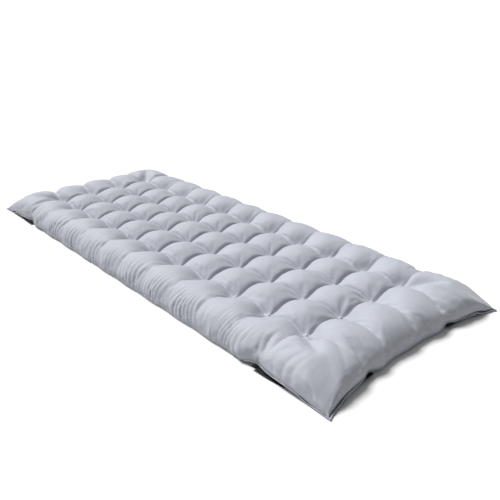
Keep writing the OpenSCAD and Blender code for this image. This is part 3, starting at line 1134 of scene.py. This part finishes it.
class PAD_OT_straps(bpy.types.Operator):
    """Make the elastic corner straps and their sewn ends"""

    bl_idname = "pad.straps"
    bl_label = "Corner Straps"

    def execute(self, context):
        finish = settings()[2]
        elastic = woven_material(
            "Ribbed Elastic", [c * 2.2 for c in finish.elastic], finish.elastic, 0.0016, "cut_place",
            strength=0.5, sheen=0.0, gloss=0.1,
        )
        path, width, thick = strap_path(72)
        along = np.gradient(path, axis=0)
        along /= np.linalg.norm(along, axis=1)[:, None]
        across = np.stack([along[:, 1], -along[:, 0], np.zeros(len(along))], -1)
        across /= np.linalg.norm(across, axis=1)[:, None]
        up = np.cross(across, along)
        up *= np.sign(up[:, 2])[:, None]
        profile = elastic_profile(width, thick)
        run = np.concatenate([[0], np.cumsum(np.linalg.norm(np.diff(path, axis=0), axis=1))])
        for corner in CORNERS:
            piece = corner_piece(f"{corner}_strap", *tube_along(path, across, up, profile), corner)
            keep_cut_place(piece, [(distance, a, 0) for distance in run for a, _ in profile])
            piece.data.materials.append(elastic)
            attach(piece, f"strap_{corner}")
            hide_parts(f"corner_strap_{corner}")
            self.tabs(corner, elastic)
        return {"FINISHED"}

    def tabs(self, corner, elastic):
        """The two folded, stitched ends, one along each edge."""
        width, _, start, end, _, _ = strap_measures()
        low, high = TAB_BOX
        length_of_tab = 0.014
        layer = (high[2] - low[2]) / 2
        parts = []
        for centre, direction, side in (
            ((low[0] + length_of_tab / 2, start[1]), (1, 0), (0, 1)),
            ((end[0], low[1] + length_of_tab / 2), (0, 1), (1, 0)),
        ):
            along = np.array([*direction, 0.0])
            across = np.array([*side, 0.0])
            up = np.array([0, 0, 1.0])
            for fold in (0, 1):
                level = low[2] + layer * (fold + 0.5)
                path = [
                    np.array([*centre, level]) + along * length_of_tab * (s - 0.5)
                    for s in np.linspace(0, 1, 9)
                ]
                profile = elastic_profile(width, layer * 0.94)
                parts.append(tube_along(path, [across] * 9, [up] * 9, profile))
            for offset in (-0.0045, 0.0045):
                for k in range(5):
                    spot = np.array([*centre, high[2]]) + along * offset + across * (k - 2) * 0.0035
                    a, b = spot - across * 0.0013, spot + across * 0.0013
                    lift = np.array([0, 0, 0.00005])
                    path = [a - lift * 4, (a + b) / 2 + lift, b - lift * 4]
                    ring = [(0.0003, 0), (0, 0.0003), (-0.0003, 0), (0, -0.0003)]
                    parts.append(tube_along(path, [along] * 3, [up] * 3, ring))
        verts, faces = gather(parts)
        piece = corner_piece(f"{corner}_strap_ends", verts, faces, corner)
        keep_cut_place(piece, np.array(verts) * (1, 1, 0))
        piece.data.materials.append(elastic)
        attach(piece, f"{corner.split('_')[0]}_half")
        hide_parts(f"strap_tabs_{corner}")


# ---------------------------------------------------------------------------
# Stage
# ---------------------------------------------------------------------------


class PAD_OT_stage(bpy.types.Operator):
    """Set out the pale floor, the soft lights and the camera"""

    bl_idname = "pad.stage"
    bl_label = "Stage"

    def execute(self, context):
        stage = settings()[3]
        scene = context.scene
        self.floor(stage)
        self.lights(scene, stage)
        self.camera(scene, stage)
        return {"FINISHED"}

    def floor(self, stage):
        half = 260.0
        verts = [(-half, -half, 0), (half, -half, 0), (half, half, 0), (-half, half, 0)]
        floor = new_object("floor", verts, [(0, 1, 2, 3)], smooth=False)
        floor.data.materials.append(floor_material(stage.floor))

    def lights(self, scene, stage):
        scene.view_settings.view_transform = "Standard"
        world = bpy.data.worlds.new("Studio")
        scene.world = world
        world.use_nodes = True
        sky = world.node_tree.nodes["Background"]
        sky.inputs["Color"].default_value = (1, 1, 1, 1)
        sky.inputs["Strength"].default_value = stage.sky
        lamp = bpy.data.lights.new("key", "SUN")
        lamp.energy = stage.key
        lamp.angle = stage.softness
        light = bpy.data.objects.new("key", lamp)
        light.rotation_euler = Vector(stage.key_from).to_track_quat("Z", "Y").to_euler()
        light.location = Vector(stage.key_from) * 3
        scene.collection.objects.link(light)

    def camera(self, scene, stage):
        azimuth, tilt, roll = (math.radians(a) for a in stage.camera_turn)
        ahead = Vector((
            -math.sin(azimuth) * math.cos(tilt), math.cos(azimuth) * math.cos(tilt), -math.sin(tilt)
        ))
        lens = bpy.data.cameras.new("camera")
        lens.sensor_width = 36
        lens.lens = stage.lens
        camera = bpy.data.objects.new("camera", lens)
        turn = ahead.to_track_quat("-Z", "Y").to_matrix() @ Matrix.Rotation(roll, 3, "Z")
        camera.rotation_euler = turn.to_euler()
        camera.location = stage.camera_place
        scene.collection.objects.link(camera)
        scene.camera = camera


# ---------------------------------------------------------------------------
# Panel and registration
# ---------------------------------------------------------------------------


class PAD_PT_main(bpy.types.Panel):
    """Sidebar panel that lists the pad's pieces"""

    bl_idname = "PAD_PT_main"
    bl_label = "Mattress Pad"
    bl_space_type = "VIEW_3D"
    bl_region_type = "UI"
    bl_category = "Mattress Pad"

    def draw(self, context):
        layout = self.layout
        for group in ("pad_shape", "pad_feel", "pad_finish", "pad_stage"):
            box = layout.box()
            owner = getattr(context.scene, group)
            for name in owner.__annotations__:
                box.prop(owner, name)
        for operator in OPERATORS:
            layout.operator(operator.bl_idname)


GROUPS = {
    "pad_shape": PadShape,
    "pad_feel": ClothFeel,
    "pad_finish": PadFinish,
    "pad_stage": StageSettings,
}
OPERATORS = (PAD_OT_covers, PAD_OT_batting, PAD_OT_edge, PAD_OT_tufts, PAD_OT_straps, PAD_OT_stage)


def register():
    for group in GROUPS.values():
        bpy.utils.register_class(group)
    for name, group in GROUPS.items():
        setattr(bpy.types.Scene, name, bpy.props.PointerProperty(type=group))
    for operator in OPERATORS:
        bpy.utils.register_class(operator)
    bpy.utils.register_class(PAD_PT_main)


def unregister():
    bpy.utils.unregister_class(PAD_PT_main)
    for operator in reversed(OPERATORS):
        bpy.utils.unregister_class(operator)
    for name in GROUPS:
        delattr(bpy.types.Scene, name)
    for group in reversed(list(GROUPS.values())):
        bpy.utils.unregister_class(group)


def main():
    register()
    bpy.ops.pad.covers()
    bpy.ops.pad.batting()
    bpy.ops.pad.edge()
    bpy.ops.pad.tufts()
    bpy.ops.pad.straps()
    bpy.ops.pad.stage()


if __name__ == "__main__":
    main()
